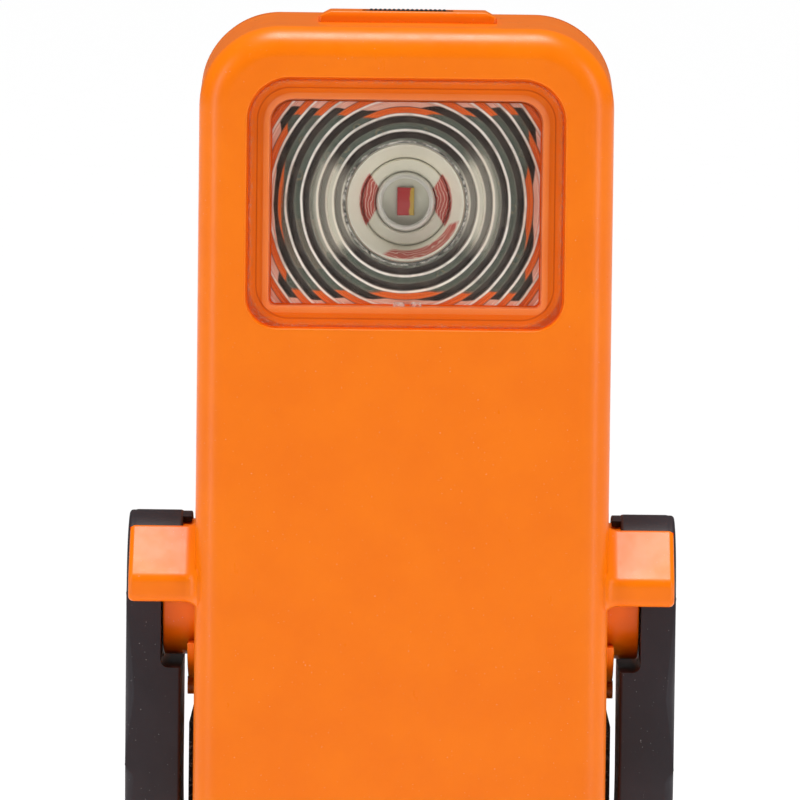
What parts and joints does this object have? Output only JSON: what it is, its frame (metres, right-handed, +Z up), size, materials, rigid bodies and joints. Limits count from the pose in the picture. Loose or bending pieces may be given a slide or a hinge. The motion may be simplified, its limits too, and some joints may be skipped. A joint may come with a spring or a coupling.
{
  "type": "firefighter flashlight",
  "caption": "Orange box-shaped right-angle hand lamp with a rectangular ring-lens window, a top push switch and a black swing handle on side pivots.",
  "frame": {"origin": "centre of the base pad's underside, directly below the handle's pivot axis", "axes": "+Z up, the lit face looks along -Y, +X across the lamp along the handle's pivot axis"},
  "size_m": [0.1076, 0.0881, 0.1922],
  "materials": {
    "orange_plastic": "smooth satin moulded plastic, signal orange",
    "textured_dark_plastic": "dark grey plastic with a coarse moulded grain",
    "black_plastic": "black satin moulded plastic",
    "black_rubber": "matte black rubber",
    "clear_plastic": "clear polished polycarbonate",
    "white_plastic": "off-white plastic",
    "red_silicone": "red silicone",
    "green_board": "green solder mask",
    "aluminium": "plain milled",
    "steel": "zinc plated",
    "brass": "polished contact",
    "cell_wrap": "blue shrink wrap"
  },
  "bodies": {
    "lamp": {"front_shell": "orange_plastic", "rear_shell": "orange_plastic", "battery_cover": "textured_dark_plastic", "shell_seal": "black_rubber", "cover_seal": "black_rubber", "base_pad": "black_rubber", "rear_foot": "black_rubber", "charge_contact_left": "brass", "charge_contact_right": "brass", "window_cover": "clear_plastic", "ring_lens": "clear_plastic", "reflector_dish": "white_plastic", "led_seal_ring": "red_silicone", "led_dome": "clear_plastic", "led_base": "white_plastic", "led_die": "red_silicone", "led_board": "green_board", "heat_sink": "aluminium", "optic_screw_left": "steel", "optic_screw_right": "steel", "control_board": "green_board", "driver_chip": "black_plastic", "board_connector": "white_plastic", "inductor": "black_plastic", "capacitor": "aluminium", "battery_lead_positive": "red_silicone", "battery_lead_negative": "black_rubber", "switch_gasket": "black_rubber", "switch_board": "green_board", "tact_switch": "black_plastic", "battery_cradle": "white_plastic", "cell_contact_left": "steel", "cell_contact_right": "steel", "pivot_screw_left": "steel", "pivot_screw_right": "steel", "friction_washer_left": "white_plastic", "friction_washer_right": "white_plastic", "battery_cell_1": "cell_wrap", "case_screw_1": "steel", "cover_screw_1": "steel", "battery_cell_2": "cell_wrap", "case_screw_2": "steel", "cover_screw_2": "steel", "battery_cell_3": "cell_wrap", "case_screw_3": "steel", "cover_screw_3": "steel", "battery_cell_4": "cell_wrap", "case_screw_4": "steel", "cover_screw_4": "steel"},
    "handle": {"handle_arm_left": "black_plastic", "handle_arm_right": "black_plastic", "hub_cap_left": "black_plastic", "hub_cap_right": "black_plastic", "bar_screw_left": "steel", "bar_screw_right": "steel", "grip_bar": "black_plastic", "grip_sleeve": "black_rubber"},
    "button": {"switch_button": "black_rubber", "switch_plunger": "white_plastic"}
  },
  "joints": [
    {"name": "handle_swing", "type": "hinge", "parent": "lamp", "child": "handle", "pos_m": [0, 0, 0.078], "axis": [1, 0, 0], "range_deg": [0, 110]},
    {"name": "button_press", "type": "slide", "parent": "lamp", "child": "button", "axis": [0, 0, -1], "range_m": [0, 0.001], "stiffness_N_per_m": 1500, "springref_m": -0.001}
  ]
}
